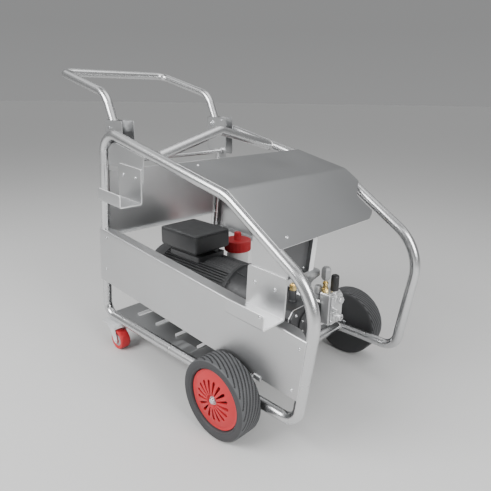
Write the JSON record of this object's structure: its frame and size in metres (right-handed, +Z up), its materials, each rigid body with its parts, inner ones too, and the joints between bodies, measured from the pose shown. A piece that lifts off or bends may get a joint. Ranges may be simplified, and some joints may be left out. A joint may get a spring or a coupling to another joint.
{
  "type": "pressure washer",
  "caption": "Tube-frame electric pressure washer with a folding push handle, motor and plunger pump on a tray, large wheels, swivel casters, hose hooks and a detergent bottle.",
  "frame": {"origin": "middle of the footprint on the floor, under the centre of the bounding box", "axes": "+X towards the pump end, away from the push handle; +Y towards the far long side, away from the hose hooks; +Z up"},
  "size_m": [1.3375, 0.795, 1.0855],
  "materials": {
    "frame_tube": "satin polished stainless tube",
    "sheet": "fine ground stainless sheet",
    "zinc": "bright zinc plate",
    "tyre": "dull moulded rubber",
    "red_plastic": "moulded plastic",
    "motor_paint": "satin enamel",
    "dark_casting": "painted casting",
    "bright_metal": "machined and plated",
    "brass": "machined",
    "white_plastic": "blown plastic and ceramic",
    "grey_plastic": "moulded plastic",
    "black_plastic": "moulded plastic"
  },
  "bodies": {
    "chassis": {"axle": "zinc", "axle_tube": "frame_tube", "base_tray": "sheet", "bell_housing": "dark_casting", "bracket_tie_rod": "frame_tube", "cable_gland": "grey_plastic", "caster_plate_far": "zinc", "caster_plate_near": "zinc", "control_box": "sheet", "detergent_bottle": "white_plastic", "fan_cowl": "motor_paint", "gusset_front": "sheet", "gusset_rear": "sheet", "handle_bolt_far": "zinc", "handle_bolt_near": "zinc", "handle_bracket_far": "frame_tube", "handle_bracket_near": "frame_tube", "hook_front": "sheet", "hook_rear": "sheet", "hub_nut_far": "zinc", "hub_nut_near": "zinc", "inlet_filter": "grey_plastic", "lifting_bar": "frame_tube", "motor_housing": "motor_paint", "pump_crankcase": "dark_casting", "pump_head": "bright_metal", "rear_panel": "sheet", "regulator_stem": "brass", "relief_valve": "grey_plastic", "side_frame_far": "frame_tube", "side_frame_near": "frame_tube", "side_panel_far": "sheet", "side_panel_near": "sheet", "terminal_box": "motor_paint", "terminal_box_lid": "motor_paint", "top_cover": "sheet", "unloader_body": "bright_metal"},
    "wheel_near": {"wheel_tyre_near": "tyre", "wheel_rim_near": "red_plastic", "wheel_bush_near": "zinc"},
    "wheel_far": {"wheel_tyre_far": "tyre", "wheel_rim_far": "red_plastic", "wheel_bush_far": "zinc"},
    "caster_swivel_near": {"caster_fork_near": "zinc"},
    "caster_roller_near": {"caster_wheel_near": "red_plastic"},
    "caster_swivel_far": {"caster_fork_far": "zinc"},
    "caster_roller_far": {"caster_wheel_far": "red_plastic"},
    "fold_handle": {"handle": "frame_tube"},
    "drive_line": {"rotor_shaft": "bright_metal", "cooling_fan": "motor_paint", "shaft_coupling": "bright_metal", "pump_crankshaft": "bright_metal"},
    "plunger_a": {"plunger_1": "white_plastic"},
    "plunger_b": {"plunger_2": "white_plastic"},
    "plunger_c": {"plunger_3": "white_plastic"},
    "pressure_knob": {"regulator_knob": "grey_plastic"},
    "bypass_knob": {"unloader_knob": "black_plastic"},
    "switch": {"main_switch": "black_plastic"},
    "cap": {"bottle_cap": "red_plastic"},
    "oil_plug": {"oil_cap": "brass"}
  },
  "joints": [
    {"name": "wheel_spin_near", "type": "hinge", "parent": "chassis", "child": "wheel_near", "pos_m": [0.3813, -0.355, 0.13], "axis": [0, 1, 0], "continuous": true},
    {"name": "wheel_spin_far", "type": "hinge", "parent": "chassis", "child": "wheel_far", "pos_m": [0.3813, 0.355, 0.13], "axis": [0, 1, 0], "continuous": true},
    {"name": "caster_turn_near", "type": "hinge", "parent": "chassis", "child": "caster_swivel_near", "pos_m": [-0.3097, -0.296, 0.094], "axis": [0, 0, 1], "continuous": true},
    {"name": "caster_roll_near", "type": "hinge", "parent": "caster_swivel_near", "child": "caster_roller_near", "pos_m": [-0.2777, -0.296, 0.04], "axis": [0, 1, 0], "continuous": true},
    {"name": "caster_turn_far", "type": "hinge", "parent": "chassis", "child": "caster_swivel_far", "pos_m": [-0.3097, 0.296, 0.094], "axis": [0, 0, 1], "continuous": true},
    {"name": "caster_roll_far", "type": "hinge", "parent": "caster_swivel_far", "child": "caster_roller_far", "pos_m": [-0.2777, 0.296, 0.04], "axis": [0, 1, 0], "continuous": true},
    {"name": "handle_fold", "type": "hinge", "parent": "chassis", "child": "fold_handle", "pos_m": [-0.2837, 0, 0.875], "axis": [0, 1, 0], "range_deg": [0, 150]},
    {"name": "drive_spin", "type": "hinge", "parent": "chassis", "child": "drive_line", "pos_m": [-0.0757, 0, 0.262], "axis": [1, 0, 0], "continuous": true},
    {"name": "plunger_slide_a", "type": "slide", "parent": "chassis", "child": "plunger_a", "axis": [0, 1, 0], "range_m": [-0.008, 0.008]},
    {"name": "plunger_slide_b", "type": "slide", "parent": "chassis", "child": "plunger_b", "axis": [0, 1, 0], "range_m": [-0.008, 0.008]},
    {"name": "plunger_slide_c", "type": "slide", "parent": "chassis", "child": "plunger_c", "axis": [0, 1, 0], "range_m": [-0.008, 0.008]},
    {"name": "pressure_knob_turn", "type": "hinge", "parent": "chassis", "child": "pressure_knob", "pos_m": [0.4363, 0.084, 0.42], "axis": [0, 0, 1], "range_deg": [0, 330]},
    {"name": "bypass_knob_turn", "type": "hinge", "parent": "chassis", "child": "bypass_knob", "pos_m": [0.4583, 0.108, 0.385], "axis": [0, 0, 1], "range_deg": [0, 330]},
    {"name": "switch_turn", "type": "hinge", "parent": "chassis", "child": "switch", "pos_m": [0.4093, -0.205, 0.54], "axis": [0, 1, 0], "range_deg": [0, 90]},
    {"name": "cap_lift", "type": "slide", "parent": "chassis", "child": "cap", "axis": [0, 0, 1], "range_m": [0, 0.06]},
    {"name": "oil_cap_lift", "type": "slide", "parent": "chassis", "child": "oil_plug", "axis": [0, 0, 1], "range_m": [0, 0.05]}
  ]
}
